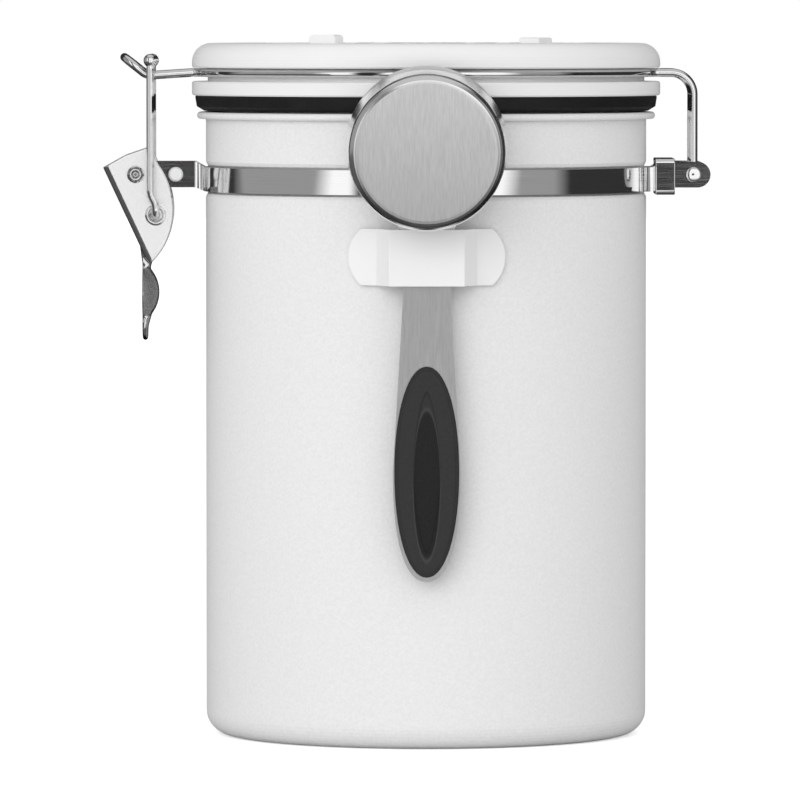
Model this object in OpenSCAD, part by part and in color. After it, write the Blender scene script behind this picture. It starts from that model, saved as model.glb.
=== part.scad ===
// Clamp-lid coffee canister with a one-way valve and a date dial in the lid, and a scoop that hangs
// in a holder on its wall.
// The origin is the centre of the base, on the axis of the canister, and Z points up. The scoop
// hangs at the front, -Y. The bail wire's hinge is at +X and the over-centre latch at -X.

/* [Canister] */
// Outer diameter of the canister wall
body_d = 120; // [110:1:135]
// Height of the canister's rim above the base
rim_z = 169.6; // [160:0.2:220]
// Thickness of the steel sheet
wall = 0.6; // [0.4:0.1:0.8]
// Radius of the bottom edge
base_fillet = 6.5; // [4:0.5:10]
// Height of the raised panel in the base
base_recess = 2; // [1:0.5:4]
// Width of the flat ring that the canister stands on
foot_w = 4.5; // [3:0.5:8]
// How far the rolled rim stands out from the wall
bead_out = 2.4; // [2:0.1:2.8]
// Height of the rolled rim
bead_h = 1.9; // [1.6:0.1:2.4]

/* [Clamp band] */
// Distance from the rim down to the top of the band
band_drop = 15; // [12:0.5:25]
// Height of the band
band_h = 6.6; // [5:0.1:8]
// Thickness of the band's steel strip
band_t = 1; // [0.8:0.1:1.3]
// Depth of the groove that the band lies in
groove_depth = 0.7; // [0.4:0.1:1]
// Height of the sloped shoulders of the groove
groove_slope = 1.5; // [1:0.1:3]
// Height of the ears
ear_h = 7; // [6:0.2:8]
// How much higher the middle of the ears lies than the middle of the band
ear_rise = 1.3; // [0:0.1:2]
// Radius of the bends between the band and its ears
ear_bend = 3.5; // [2.5:0.1:5]
// Distance of the hinge pins from the canister wall
hinge_reach = 12.6; // [12:0.1:16]
// Clear width between the two hinge ears
hinge_gap = 19; // [16:0.5:24]
// Distance of the lever pin from the canister wall
lever_reach = 19; // [17:0.1:24]
// Clear width between the two latch ears
latch_gap = 9.2; // [7:0.2:12]
// Distance of the rivet of the latch ears from the canister wall
rivet_reach = 8.1; // [7.6:0.1:8.4]
// Diameter of the rivet of the latch ears
rivet_d = 2.4; // [2:0.1:3]
// Diameter of the lever pin
pin_d = 2.4; // [2:0.1:3]

/* [Bail wire] */
// Diameter of the bail wire
bail_d = 2.3; // [2:0.1:2.6]
// Clear gap between the lid's core and the wire ring
ring_gap = 0.35; // [0.3:0.05:0.6]
// Distance of the middle lines of the two nose wires
nose_w = 9.2; // [7:0.2:11]
// Distance of the nose's upward bend from the canister wall
nose_reach = 15.6; // [15:0.1:18]
// Angle of the nose's turned-up end
nose_rise = 42; // [30:1:50]
// Straight length of the turned-up end
nose_run = 1.9; // [1:0.1:4]
// Radius of the upper bends of the two hinge legs
leg_bend = 5.9; // [4:0.1:7]

/* [Latch] */
// Diameter of the link wire
link_d = 2.1; // [1.8:0.1:2.4]
// Height of the link from its hooks in the lever to the crossbar
link_len = 41.9; // [41.5:0.1:44]
// Thickness of the lever's sheet
lever_t = 1.2; // [0.8:0.1:1.4]
// Length of the thumb dish at its rim, along the lever
dish_len = 16.5; // [14:0.5:20]
// Length of the lip below the thumb dish
dish_lip = 5; // [3:0.5:8]
// Depth of the thumb dish
dish_depth = 4.6; // [3:0.1:5.5]

/* [Lid] */
// How far the lid's edge stands out from the canister wall
lid_overhang = 3.8; // [3.6:0.1:5]
// Height of the cover above the wire groove
cover_h = 6.7; // [6:0.1:12]
// Radius of the cover's top edge
cover_fillet = 5.2; // [3:0.1:5.4]
// Height of the groove that the bail wire lies in
wire_groove_h = 3.7; // [3.2:0.1:5]
// Depth of the groove that the bail wire lies in
wire_groove_depth = 4.3; // [4:0.1:5]
// Height of the flange below the wire groove
flange_h = 3.8; // [3.4:0.1:5]
// Height of the seal
gasket_h = 4.2; // [3.6:0.1:5]
// Depth of the lid's plug below the rim
plug_depth = 5.6; // [4.6:0.1:5.8]
// Clear gap between the plug and the mouth of the canister
plug_gap = 4; // [2.6:0.1:4.4]
// Thickness of the lid's plastic walls
lid_wall = 2; // [1.5:0.1:2.4]

/* [Date dial] */
// Outer radius of the day ring
day_r = 53.9; // [52:0.1:54.5]
// Width of the day ring
day_w = 7.6; // [6.8:0.1:8.4]
// Outer radius of the month ring
month_r = 37.5; // [36:0.1:38.5]
// Width of the month ring
month_w = 7.8; // [7:0.1:9]
// Thickness of both rings
ring_t = 1.85; // [1.5:0.05:2.2]
// Height of the day ring's finger tab above the lid
day_tab_h = 2.3; // [1.5:0.1:4]
// Height of the month ring's finger tab above the lid
month_tab_h = 1.5; // [1:0.1:4]
// Width of both finger tabs
tab_w = 8.5; // [6:0.1:12]

/* [Valve] */
// Inner radius of the valve's tube in the lid
tube_r = 14; // [13:0.1:15]
// Radius of the vented cap on top of the valve
cap_r = 18; // [17.4:0.1:18.8]
// Number of vent slots in the cap
vent_count = 6; // [4:1:8]
// Radius of the rubber valve disc
valve_r = 9.5; // [8:0.1:10.5]
// Thickness of the felt filter
filter_t = 2; // [1:0.1:3]

/* [Scoop] */
// Outer radius of the scoop's bowl at its rim
bowl_r = 21.5; // [19:0.1:23]
// Depth of the bowl
bowl_depth = 21; // [16:0.5:26]
// Thickness of the scoop's steel
scoop_t = 1.2; // [0.8:0.1:1.4]
// Lean of the bowl's axis below level
bowl_tilt = 4; // [0:0.5:6]
// Length of the handle below the bowl's rim
handle_len = 94; // [85:0.5:110]
// Width of the handle where it leaves the bowl
handle_neck_w = 12.7; // [10:0.1:14]
// Width of the handle at its widest place
handle_w = 18; // [16:0.1:18.4]
// Length of the rubber grip
grip_len = 56; // [50:0.5:60]
// Width of the rubber grip
grip_w = 17.2; // [15:0.1:17.4]
// Thickness of the rubber grip
grip_t = 3.6; // [2.8:0.1:3.8]

/* [Scoop holder] */
// Distance from the lower edge of the band down to the holder
holder_drop = 8.9; // [4:0.1:20]
// Height of the holder
holder_h = 15; // [12:0.5:18]
// Width of the holder over its wings
holder_w = 41.8; // [36:0.2:50]
// Width of the front of the holder's bridge
bridge_w = 20; // [19.8:0.1:24]
// Thickness of the holder's walls
holder_t = 1.3; // [1:0.1:1.5]
// Thickness of the adhesive pads
pad_t = 0.6; // [0.4:0.1:1]

/* [Hidden] */
$fn = 96;

// Clearances
seal_gap = 0.3;
fit = 0.05;
pin_fit = 0.06;
run_gap = 0.3;
side_gap = 0.4;
rest_gap = 0.2;

body_r = body_d / 2;
mouth_r = body_r - wall;
band_z1 = rim_z - band_drop;
band_z0 = band_z1 - band_h;
ear_z = band_z0 + band_h / 2 + ear_rise;
groove_r = body_r - groove_depth;
strip_r = groove_r + fit + band_t / 2;

gasket_z0 = rim_z + seal_gap;
flange_z0 = gasket_z0 + gasket_h;
groove_z0 = flange_z0 + flange_h;
cover_z0 = groove_z0 + wire_groove_h;
top_z = cover_z0 + cover_h;
lid_r = body_r + lid_overhang;
flange_r = lid_r;
core_r = lid_r - wire_groove_depth;
core_in = core_r - lid_wall;
bail_r = core_r + ring_gap + bail_d / 2;
bail_z = cover_z0 - rest_gap - bail_d / 2;

// Outline of a disc's or ring's half section, turned about Z
module turned() { rotate_extrude() children(); }

// Points of an arc about c, from angle a0 to a1
function arc(c, r, a0, a1, n = 8) =
    [for (i = [0:n]) let (a = a0 + (a1 - a0) * i / n) c + r * [cos(a), sin(a)]];

// Points of an oval with half width a and half height b; a power over 2 fills its corners
function oval(a, b, power = 2, n = 64) =
    [for (i = [0:n - 1]) let (c = cos(360 * i / n), s = sin(360 * i / n))
        [a * sign(c) * pow(abs(c), 2 / power), b * sign(s) * pow(abs(s), 2 / power)]];

// Stretches of wire and strip stop a hair short of each other, and a short collar or a post that
// is a hair thicker joins them.
joint_gap = 0.04;
joint_extra = 0.1;
post_extra = 0.05;
collar_l = 0.4;

// A straight round rod from p to q, with a collar at q if another stretch follows
module rod(p, q, d, collar = true) {
    length = norm(q - p);
    u = (q - p) / length;
    translate(p) rotate([0, acos(u.z), atan2(u.y, u.x)]) {
        translate([0, 0, joint_gap]) cylinder(d = d, h = length - 2 * joint_gap);
        if (collar) translate([0, 0, length]) wire_collar(d);
    }
}

module wire_collar(d) { cylinder(d = d + joint_extra, h = collar_l, center = true); }

// A bend of round wire about Z, of radius r, from angle a0 to a1, with a collar at its end
module wire_bend(r, d, a0, a1, collar = true) {
    gap_a = joint_gap / r * 180 / PI;
    rotate([0, 0, a0 + gap_a])
        rotate_extrude(angle = a1 - a0 - 2 * gap_a) translate([r, 0]) circle(d = d, $fn = 32);
    if (collar) bend_collar(r, d, a1);
}

module bend_collar(r, d, a) {
    rotate([0, 0, a]) translate([r, 0, 0]) rotate([90, 0, 0]) wire_collar(d);
}

// A bend of flat strip about Z, of middle radius r, from angle a0 to a1, with a post at its end
module strip_bend(r, t, h, a0, a1) {
    gap_a = joint_gap / r * 180 / PI;
    rotate([0, 0, a0 + gap_a])
        rotate_extrude(angle = a1 - a0 - 2 * gap_a) translate([r - t / 2, 0]) square([t, h]);
    rotate([0, 0, a1]) translate([r, 0, 0]) strip_post(t, h);
}

module strip_post(t, h) { cylinder(d = t + post_extra, h = h, $fn = 32); }

// Plate in the XZ plane whose outline is the child, from y0 to y1
module plate_xz(y0, y1) {
    translate([0, y1, 0]) rotate([90, 0, 0]) linear_extrude(y1 - y0) children();
}

// The same thing again on the rear side
module both_sides() {
    children();
    mirror([0, 1, 0]) children();
}

// CANISTER

groove_z1 = band_z1 + groove_slope + fit;
groove_z2 = band_z0 - groove_slope - fit;
panel_r = body_r - base_fillet - foot_w - base_recess;

module canister_section() {
    outer = concat(
        [[0, base_recess], [panel_r, base_recess], [panel_r + base_recess, 0]],
        arc([body_r - base_fillet, base_fillet], base_fillet, -90, 0, 10),
        [[body_r, groove_z2], [groove_r, groove_z2 + groove_slope],
         [groove_r, groove_z1 - groove_slope], [body_r, groove_z1], [body_r, rim_z - bead_h / 2]]);
    inner = concat(
        [[mouth_r, rim_z - bead_h / 2], [mouth_r, groove_z1], [groove_r - wall, groove_z1 - groove_slope],
         [groove_r - wall, groove_z2 + groove_slope], [mouth_r, groove_z2]],
        arc([body_r - base_fillet, base_fillet], base_fillet - wall, 0, -90, 10),
        [[panel_r + base_recess + wall * 0.4, wall], [panel_r + wall * 0.4, base_recess + wall],
         [0, base_recess + wall]]);
    polygon(concat(outer, inner));
}

// The rim is rolled outwards into an open curl
module rim_curl_section() {
    roll_w = bead_out + wall;
    round_r = bead_h / 2 - 0.02;
    curl_t = wall * 0.75;
    difference() {
        translate([mouth_r, rim_z - bead_h])
            rounded_slot(roll_w, bead_h, round_r);
        translate([mouth_r + curl_t, rim_z - bead_h + curl_t])
            rounded_slot(roll_w - 2 * curl_t, bead_h - 2 * curl_t, round_r - curl_t);
        translate([body_r, rim_z - bead_h - 1])
            square([0.3, 1 + curl_t * 1.5]);
    }
}

module rounded_slot(w, h, r) {
    polygon(concat(arc([w - r, r], r, -90, 0), arc([w - r, h - r], r, 0, 90),
                   arc([r, h - r], r, 90, 180), arc([r, r], r, 180, 270)));
}

module canister_body() {
    color("white") turned() {
        canister_section();
        rim_curl_section();
    }
}

// CLAMP BAND

hinge_x = body_r + hinge_reach;
hinge_ear_y = hinge_gap / 2 + band_t / 2;
hinge_end_x = hinge_x + 4.6;
lever_x = -(body_r + lever_reach);
latch_ear_y = latch_gap / 2 + band_t / 2;
latch_end_x = lever_x - 3.4;
rivet_x = -(body_r + rivet_reach);
bend_centre_r = strip_r + ear_bend;
hinge_bend_a = asin((hinge_ear_y + ear_bend) / bend_centre_r);
latch_bend_a = asin((latch_ear_y + ear_bend) / bend_centre_r);
hinge_bend_x = bend_centre_r * cos(hinge_bend_a);
latch_bend_x = -bend_centre_r * cos(latch_bend_a);
step_w = 2.6;

// Side view of the strip: the ears rise a little above the band and have round ends
module strip_outline() {
    e0 = ear_z - ear_h / 2;
    e1 = ear_z + ear_h / 2;
    polygon([[latch_bend_x, e0], [latch_bend_x + step_w, band_z0],
             [hinge_bend_x - 0.5, band_z0], [hinge_bend_x + step_w - 0.5, e0],
             [hinge_end_x - ear_h / 2, e0], [hinge_end_x - ear_h / 2, e1],
             [hinge_bend_x + step_w - 0.5, e1], [hinge_bend_x - 0.5, band_z1],
             [latch_bend_x + step_w, band_z1], [latch_bend_x, e1],
             [latch_end_x + ear_h / 2, e1], [latch_end_x + ear_h / 2, e0]]);
    translate([hinge_end_x - ear_h / 2, ear_z]) circle(d = ear_h);
    translate([latch_end_x + ear_h / 2, ear_z]) circle(d = ear_h);
}

// Plan of the rear strip: around the canister, with a bend outwards to an ear at each end
module strip_plan() {
    h = band_h + ear_h;
    translate([0, 0, band_z0 - ear_h / 2]) {
        strip_bend(strip_r, band_t, h, hinge_bend_a, 180 - latch_bend_a);
        rotate([0, 0, hinge_bend_a]) translate([strip_r, 0, 0]) strip_post(band_t, h);
        translate([hinge_bend_x, hinge_ear_y + ear_bend, 0])
            strip_bend(ear_bend, band_t, h, 180 + hinge_bend_a, 270);
        translate([latch_bend_x, latch_ear_y + ear_bend, 0])
            strip_bend(ear_bend, band_t, h, 270, 360 - latch_bend_a);
        translate([latch_bend_x, latch_ear_y, 0]) strip_post(band_t, h);
        translate([hinge_bend_x + joint_gap, hinge_ear_y - band_t / 2, 0])
            cube([hinge_end_x - hinge_bend_x, band_t, h]);
        translate([latch_end_x, latch_ear_y - band_t / 2, 0])
            cube([latch_bend_x - latch_end_x - joint_gap, band_t, h]);
    }
}

module rear_strip() {
    difference() {
        intersection() {
            strip_plan();
            plate_xz(0, body_r + 5) strip_outline();
        }
        ear_bore(hinge_x, bail_d + 2 * pin_fit);
        ear_bore(lever_x, pin_d + 2 * fit);
        ear_bore(rivet_x, rivet_d + 2 * fit);
    }
}

module ear_bore(x, d) {
    translate([x, 0, ear_z]) rotate([-90, 0, 0]) cylinder(d = d, h = hinge_gap);
}

module rear_band() { color("silver") rear_strip(); }
module front_band() { color("silver") mirror([0, 1, 0]) rear_strip(); }

// A square sleeve holds the two hinge ears
clip_t = 0.8;
clip_l = 5.2;
clip_x = hinge_bend_x + 0.4;

module hinge_clip() {
    in_w = hinge_gap + 2 * band_t + 2 * fit;
    in_z0 = min(band_z0, ear_z - ear_h / 2) - fit;
    in_h = ear_z + ear_h / 2 + fit - in_z0;
    round_r = 1.2;
    color("silver") translate([clip_x, 0, in_z0 + in_h / 2]) rotate([90, 0, 90])
        linear_extrude(clip_l) difference() {
            rounded_box(in_w + 2 * clip_t, in_h + 2 * clip_t, round_r);
            rounded_box(in_w, in_h, 0.3);
        }
}

module rounded_box(w, h, r) {
    translate([-w / 2, -h / 2]) rounded_slot(w, h, r);
}

// The latch ears are held apart by a spacer tube and riveted together
rivet_head_d = 4;
rivet_head_t = 0.8;
spacer_d = 4.4;

module ear_rivet() {
    ear_out = latch_ear_y + band_t / 2;
    color("gainsboro") translate([rivet_x, 0, ear_z]) rotate([90, 0, 0]) {
        cylinder(d = rivet_d, h = 2 * ear_out + 0.2, center = true);
        for (s = [-1, 1]) scale([1, 1, s]) translate([0, 0, ear_out + 0.02])
            turned() polygon(concat([[0, 0], [rivet_head_d / 2, 0]],
                arc([rivet_head_d / 2 - 0.6, rivet_head_t - 0.6], 0.6, 0, 90, 4), [[0, rivet_head_t]]));
    }
}

module ear_spacer() {
    color("silver") translate([rivet_x, 0, ear_z]) rotate([90, 0, 0]) difference() {
        cylinder(d = spacer_d, h = latch_gap - 2 * fit, center = true);
        cylinder(d = rivet_d + 2 * fit, h = latch_gap + 1, center = true);
    }
}

// LATCH

cheek_in_y = latch_gap / 2 + band_t + side_gap;
cheek_out_y = cheek_in_y + lever_t;
pin_head_d = 4.6;
pin_head_t = 0.5;

// A hollow rivet, with the ring of its rolled edge
module lever_pin() {
    head_y = cheek_out_y + 0.1;
    color("gainsboro") translate([lever_x, 0, ear_z]) rotate([90, 0, 0]) {
        cylinder(d = pin_d, h = 2 * head_y + 0.2, center = true);
        for (s = [-1, 1]) scale([1, 1, s]) translate([0, 0, head_y]) turned()
            polygon([[0, 0], [pin_head_d / 2, 0], [pin_head_d / 2, pin_head_t * 0.4],
                     [pin_head_d / 2 - 0.3, pin_head_t], [1.5, pin_head_t], [1.2, pin_head_t * 0.3],
                     [0.6, pin_head_t * 0.3], [0.4, pin_head_t * 0.7], [0, pin_head_t * 0.7]]);
    }
}

// The lever's shape is set about its pin. Its two cheeks stand outside the ears, and a spine
// joins them on the outer side.
spine_top = [-8.9, 1.9];
spine_end = [2.7, -22.9];
cheek_peak = [3.1, 7.3];
cheek_edge_c = [-10.6, -9.6];
cheek_edge_r = 20.8;
link_eye = [5.5, -11];
spine_dir = spine_end - spine_top;
spine_lean = atan2(spine_dir.x, -spine_dir.y);

module cheek_outline() {
    polygon(concat([spine_top, [-3, 5.2], cheek_peak, [4.4, 6.6]],
                   arc(cheek_edge_c, cheek_edge_r, 37, -45, 14), [spine_end]));
}

// Section of the channel across its length: x from the spine's face inwards, y across
module channel_prism(x0, half_w, r, z0, z1) {
    translate([spine_top.x, 0, spine_top.y]) rotate([0, -spine_lean, 0])
        translate([0, 0, -z1]) linear_extrude(z1 - z0)
            translate([x0, -half_w]) rounded_slot(30, 2 * half_w, r);
}

module lever_channel() {
    difference() {
        intersection() {
            plate_xz(-cheek_out_y, cheek_out_y) cheek_outline();
            channel_prism(0, cheek_out_y, 1.8, -12, 40);
        }
        channel_prism(lever_t, cheek_in_y, 0.6, -13, 41);
    }
}

// Thumb dish: a shell that is round both along and across the lever, cut off at a flat rim, with
// a tongue-shaped lip below it
dish_r = (pow(dish_len / 2, 2) + pow(dish_depth, 2)) / (2 * dish_depth);
dish_cross_r = dish_r * 0.93;
dish_rim_x = 1.7;
dish_z = spine_end.y - 1 - dish_len / 2;
dish_end = dish_z - dish_len / 2;
lip_w = 9.2;

module thumb_dish() {
    dish_x = dish_rim_x + dish_depth - dish_r;
    intersection() {
        translate([dish_x, 0, dish_z]) rotate([90, 0, 0])
            rotate([0, 0, -60]) rotate_extrude(angle = 120)
                intersection() {
                    translate([dish_r - dish_cross_r, 0]) difference() {
                        circle(r = dish_cross_r);
                        circle(r = dish_cross_r - lever_t);
                    }
                    translate([dish_r - dish_depth * 1.6, -dish_len / 2])
                        square([dish_depth * 2, dish_len]);
                }
        translate([dish_rim_x, -dish_len, dish_z - dish_len]) cube([20, 2 * dish_len, 2 * dish_len]);
    }
}

module dish_lip() {
    x = dish_rim_x;
    tip = dish_end - dish_lip;
    intersection() {
        plate_xz(-lip_w / 2, lip_w / 2) polygon(concat(
            [[x + 1.25, dish_end + 2.1], [x, dish_end + 0.5]],
            arc([x + 0.75, tip + 0.75], 0.75, 180, 360, 8),
            [[x + 1.5, dish_end - 1.4], [x + 1.9, dish_end + 0.2], [x + 2.5, dish_end + 2]]));
        translate([x - 1, 0, tip + lip_w / 2]) rotate([0, 90, 0]) linear_extrude(8) union() {
            circle(d = lip_w);
            translate([-lip_w * 1.5, -lip_w / 2]) square([lip_w * 1.5, lip_w]);
        }
    }
}

// Neck between the spine and the dish
module lever_neck() {
    neck_w = 2 * cheek_in_y - 3;
    top = spine_top + spine_dir * 0.86;
    plate_xz(-neck_w / 2, neck_w / 2) polygon([
        top, top + [lever_t * 1.1, 0], [spine_end.x + 1.3, spine_end.y],
        [dish_rim_x + 2.3, spine_end.y - 2.6], [dish_rim_x + 0.9, spine_end.y - 2.9],
        [dish_rim_x, spine_end.y - 1.2]]);
}

module latch_lever() {
    eye_depth = 0.6;
    color("silver") translate([lever_x, 0, ear_z]) difference() {
        union() {
            lever_channel();
            thumb_dish();
            dish_lip();
            lever_neck();
            for (s = [-1, 1]) translate([link_eye.x, s * (cheek_out_y + 0.05), link_eye.y])
                rotate([90, 0, 0]) cylinder(r = 2.55, h = 0.5, center = true);
        }
        rotate([90, 0, 0]) cylinder(d = pin_d + 2 * pin_fit, h = 40, center = true);
        translate([link_eye.x, 0, link_eye.y]) rotate([90, 0, 0]) {
            cylinder(d = link_d + 2 * pin_fit, h = 40, center = true);
            for (s = [-1, 1]) translate([0, 0, s * (cheek_out_y - eye_depth + 1)])
                cylinder(r = 2, h = 2, center = true);
        }
    }
}

// The link is an inverted U of wire with its two ends hooked into the lever's cheeks
link_offset = 1.4;
link_knee_r = 5;
link_knob_d = 3.6;
link_knob_l = 2;
link_leg_y = cheek_out_y + 0.8 + link_d / 2;
link_hook_r = 1.7;
link_top_r = 2.2;

// The knee is an S-bend that sets the leg off from its hook
knee_a = acos(1 - link_offset / (2 * link_knee_r));
knee_top = link_hook_r + 2 * link_knee_r * sin(knee_a);

module link_half() {
    hook_y = cheek_in_y + 0.02;
    rod([0, hook_y, 0], [0, link_leg_y - link_hook_r, 0], link_d);
    translate([0, link_leg_y - link_hook_r, link_hook_r]) rotate([0, 90, 0])
        wire_bend(link_hook_r, link_d, 0, 90);
    translate([-link_knee_r, link_leg_y, link_hook_r]) rotate([90, 0, 0])
        wire_bend(link_knee_r, link_d, 0, knee_a);
    translate([link_knee_r - link_offset, link_leg_y, knee_top]) rotate([90, 0, 0]) {
        wire_bend(link_knee_r, link_d, 180, 180 + knee_a, false);
        bend_collar(link_knee_r, link_d, 180);
    }
    rod([-link_offset, link_leg_y, knee_top], [-link_offset, link_leg_y, link_len - link_top_r], link_d);
    translate([-link_offset, link_leg_y - link_top_r, link_len - link_top_r]) rotate([0, 90, 0])
        wire_bend(link_top_r, link_d, 90, 180);
    link_knob();
}

// Round knob at each end of the crossbar
module link_knob() {
    r = link_knob_d / 2;
    translate([-link_offset, link_leg_y - link_top_r + 0.5, link_len]) rotate([-90, 0, 0]) turned()
        polygon(concat([[0, 0], [r - 0.5, 0]], arc([r - 0.5, 0.5], 0.5, -90, 0, 4),
                       arc([r - 1.2, link_knob_l - 0.2], 1.2, 0, 90, 6), [[0, link_knob_l + 1]]));
}

module latch_link() {
    color("silver") translate([lever_x + link_eye.x, 0, ear_z + link_eye.y]) {
        both_sides() link_half();
        rod([-link_offset, link_top_r - link_leg_y, link_len],
            [-link_offset, link_leg_y - link_top_r, link_len], link_d, false);
    }
}

// BAIL WIRE

ring_bend = 3;
ring_bend_r = bail_r + ring_bend;
leg_y = hinge_gap / 2 - 0.75 - bail_d / 2;
nose_y = nose_w / 2;
nose_drop = 0.7;
nose_bend = 4;
eye_bend = 1.7;
eye_head_d = 4;
eye_head_t = 0.8;
leg_bend_a = asin((leg_y + ring_bend) / ring_bend_r);
nose_bend_a = asin((nose_y + ring_bend) / ring_bend_r);
leg_start_x = ring_bend_r * cos(leg_bend_a);
nose_start_x = ring_bend_r * cos(nose_bend_a);
nose_bend_x = body_r + nose_reach - nose_bend * tan(nose_rise / 2);
nose_lean = atan2(nose_drop, nose_bend_x - nose_start_x);

// Rear half of the ring, from the hinge leg to the nose
module ring_half() {
    translate([0, 0, bail_z]) {
        wire_bend(bail_r, bail_d, leg_bend_a, 180 - nose_bend_a);
        bend_collar(bail_r, bail_d, leg_bend_a);
        translate([leg_start_x, leg_y + ring_bend, 0])
            wire_bend(ring_bend, bail_d, 180 + leg_bend_a, 270);
        translate([-nose_start_x, nose_y + ring_bend, 0])
            wire_bend(ring_bend, bail_d, 270, 360 - nose_bend_a, false);
    }
}

// Rear leg, down to its end that turns outwards through the ear and is headed over
module hinge_leg() {
    head_y = hinge_ear_y + band_t / 2 + run_gap;
    rod([leg_start_x, leg_y, bail_z], [hinge_x - leg_bend, leg_y, bail_z], bail_d);
    translate([hinge_x - leg_bend, leg_y, bail_z - leg_bend]) rotate([90, 0, 0])
        wire_bend(leg_bend, bail_d, 0, 90);
    rod([hinge_x, leg_y, ear_z + eye_bend], [hinge_x, leg_y, bail_z - leg_bend], bail_d);
    translate([hinge_x, leg_y + eye_bend, ear_z + eye_bend]) rotate([0, 90, 0])
        wire_bend(eye_bend, bail_d, 270, 360);
    translate([hinge_x, leg_y, ear_z + eye_bend]) wire_collar(bail_d);
    rod([hinge_x, leg_y + eye_bend, ear_z], [hinge_x, head_y + 0.1, ear_z], bail_d, false);
    translate([hinge_x, head_y, ear_z]) rotate([-90, 0, 0]) turned()
        polygon(concat([[0, 0], [eye_head_d / 2, 0]],
            arc([eye_head_d / 2 - 0.5, eye_head_t - 0.5], 0.5, 0, 90, 4), [[0, eye_head_t]]));
}

// The nose leans down a little from the ring, then turns up and closes in a half ring
module nose_half() {
    run = (nose_bend_x - nose_start_x) / cos(nose_lean);
    translate([-nose_start_x, nose_y, bail_z]) rotate([0, -nose_lean, 0]) {
        rotate([0, 90, 0]) wire_collar(bail_d);
        rod([0, 0, 0], [-run, 0, 0], bail_d);
        translate([-run, 0, nose_bend]) rotate([90, 0, 0])
            wire_bend(nose_bend, bail_d, 270 - nose_rise, 270);
        translate([-run, 0, nose_bend]) rotate([0, nose_rise, 0]) translate([0, 0, -nose_bend]) {
            rotate([0, 90, 0]) wire_collar(bail_d);
            rod([0, 0, 0], [-nose_run, 0, 0], bail_d);
            translate([-nose_run, -nose_y, 0]) wire_bend(nose_y, bail_d, 90, 180);
        }
    }
}

module bail_wire() {
    color("silver") both_sides() {
        ring_half();
        hinge_leg();
        nose_half();
    }
}

// LID

neck_r = mouth_r - plug_gap - 0.6;
plug_r = mouth_r - plug_gap;
plug_tip_r = plug_r - 3.4;
plug_z0 = rim_z - plug_depth;
plug_slope = 4;
floor_t = 2;
tube_wall = 2;
plate_t = 3.6;
plate_z0 = top_z - plate_t;
spigot_h = 3;
cap_t = 1.5;
dial_depth = ring_t + 0.15;

module lid_cover_section() {
    difference() {
        polygon(concat(
            [[tube_r - 0.2, plate_z0], [tube_r - 0.2, top_z]],
            arc([lid_r - cover_fillet, top_z - cover_fillet], cover_fillet, 90, 0, 10),
            [[lid_r, cover_z0 + 0.4], [lid_r - 0.4, cover_z0], [core_in - fit, cover_z0],
             [core_in - fit, cover_z0 - spigot_h], [core_in - lid_wall, cover_z0 - spigot_h],
             [core_in - lid_wall, plate_z0 - 1], [core_in - lid_wall - 1, plate_z0]]));
        translate([0, top_z - cap_t]) square([cap_r + 0.15, cap_t + 1]);
        dial_groove_section(day_r, day_w);
        dial_groove_section(month_r, month_w);
    }
}

module dial_groove_section(r, w) {
    translate([r - w - run_gap, top_z - dial_depth]) square([w + 2 * run_gap, dial_depth + 1]);
}

module lid_cover() { color("whitesmoke") turned() lid_cover_section(); }

module lid_base() {
    ledge_z = plug_z0 + 10;
    floor_z = plug_z0 + floor_t;
    color("whitesmoke") turned() union() {
        polygon([
            [tube_r, plug_z0], [plug_tip_r, plug_z0], [plug_r, plug_z0 + plug_slope],
            [plug_r, gasket_z0], [neck_r, gasket_z0], [neck_r, flange_z0],
            [flange_r - 0.4, flange_z0], [flange_r, flange_z0 + 0.4],
            [flange_r, groove_z0 - 0.4], [flange_r - 0.4, groove_z0], [core_r, groove_z0],
            [core_r, cover_z0], [core_in, cover_z0], [core_in, groove_z0 - 1.2],
            [neck_r - lid_wall, groove_z0 - 1.2 - (core_in - neck_r + lid_wall) * 0.35],
            [neck_r - lid_wall, plug_z0 + plug_slope], [plug_tip_r - lid_wall, floor_z],
            [tube_r + tube_wall, floor_z], [tube_r + tube_wall, plate_z0 - 0.02],
            [tube_r, plate_z0 - 0.02]]);
        translate([tube_r - 1.6, ledge_z]) square([1.8, 2]);
    }
}

gasket_r = body_r + bead_out + 0.5;

module lid_gasket() {
    color("black") turned() polygon([
        [neck_r + fit, gasket_z0], [gasket_r - 2.4, gasket_z0], [gasket_r - 0.4, gasket_z0 + 1.2],
        [gasket_r, flange_z0 - 0.5], [gasket_r - 0.2, flange_z0], [neck_r + fit, flange_z0]]);
}

// DATE DIAL

// A raised finger tab: its front and back lean in, and its corners are round
module finger_tab(w, depth, h) {
    root = 1;
    translate([0, 0, top_z - root]) intersection() {
        linear_extrude(h + root) rounded_box(depth, w, 1.2);
        translate([-depth / 2 - 1, 0, 0]) rotate([90, 0, 90])
            linear_extrude(depth + 2) polygon(concat([[-w / 2, 0], [w / 2, 0]],
                arc([w / 2 - 1.3, h + root - 1.3], 1.3, 0, 90, 6),
                arc([1.3 - w / 2, h + root - 1.3], 1.3, 90, 180, 6)));
        rotate([90, 0, 0]) translate([0, 0, -w]) linear_extrude(2 * w)
            polygon([[-depth / 2, 0], [depth / 2, 0], [depth / 2, root + 0.2],
                     [depth / 2 - h * 0.3, h + root], [h * 0.3 - depth / 2, h + root],
                     [-depth / 2, root + 0.2]]);
    }
}

module dial_ring(r, w, tab_angle, tab_depth, tab_h) {
    translate([0, 0, top_z - ring_t]) turned() polygon([
        [r - w, 0], [r, 0], [r, ring_t - 0.25], [r - 0.25, ring_t],
        [r - w + 0.25, ring_t], [r - w, ring_t - 0.25]]);
    rotate([0, 0, tab_angle]) translate([r - w / 2, 0, 0]) finger_tab(tab_w, tab_depth, tab_h);
}

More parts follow.
